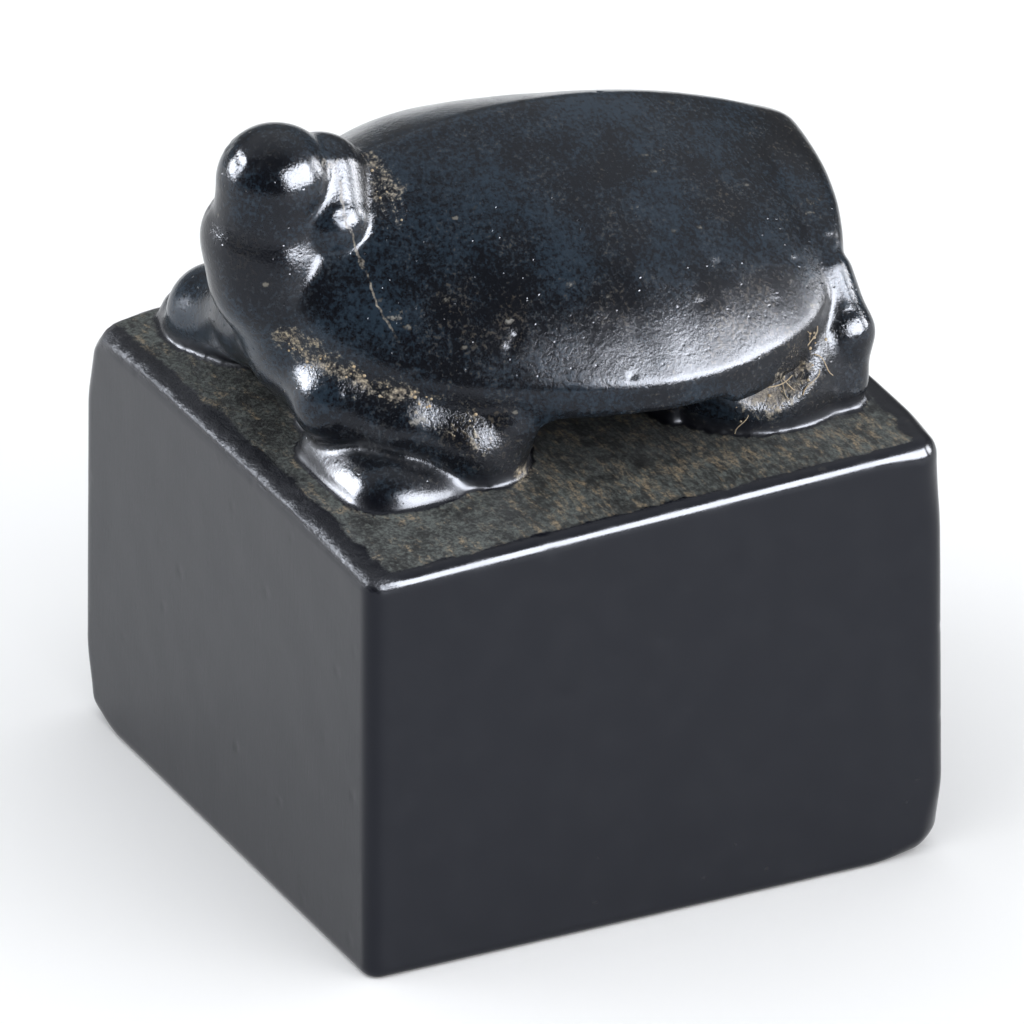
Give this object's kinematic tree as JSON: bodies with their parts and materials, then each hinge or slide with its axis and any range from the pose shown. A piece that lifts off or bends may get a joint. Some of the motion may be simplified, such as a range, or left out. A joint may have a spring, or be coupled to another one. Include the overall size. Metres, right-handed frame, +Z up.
{
  "type": "turtle-handled stone seal",
  "caption": "Square seal carved from one dark stone, with a crouching turtle as its handle and a cord tunnel under the belly.",
  "frame": {"origin": "centre of the seal's square underside, which is its sealing face", "axes": "+Z up from the sealing face through the turtle's back; -Y the way the turtle's head looks; +X the turtle's left flank; the cord tunnel runs along X"},
  "size_m": [0.0232, 0.0225, 0.0269],
  "materials": {
    "stone": "polished, worn, near black with buff dirt in the hollows"
  },
  "bodies": {
    "root": {"turtle_seal": "stone"}
  },
  "joints": []
}
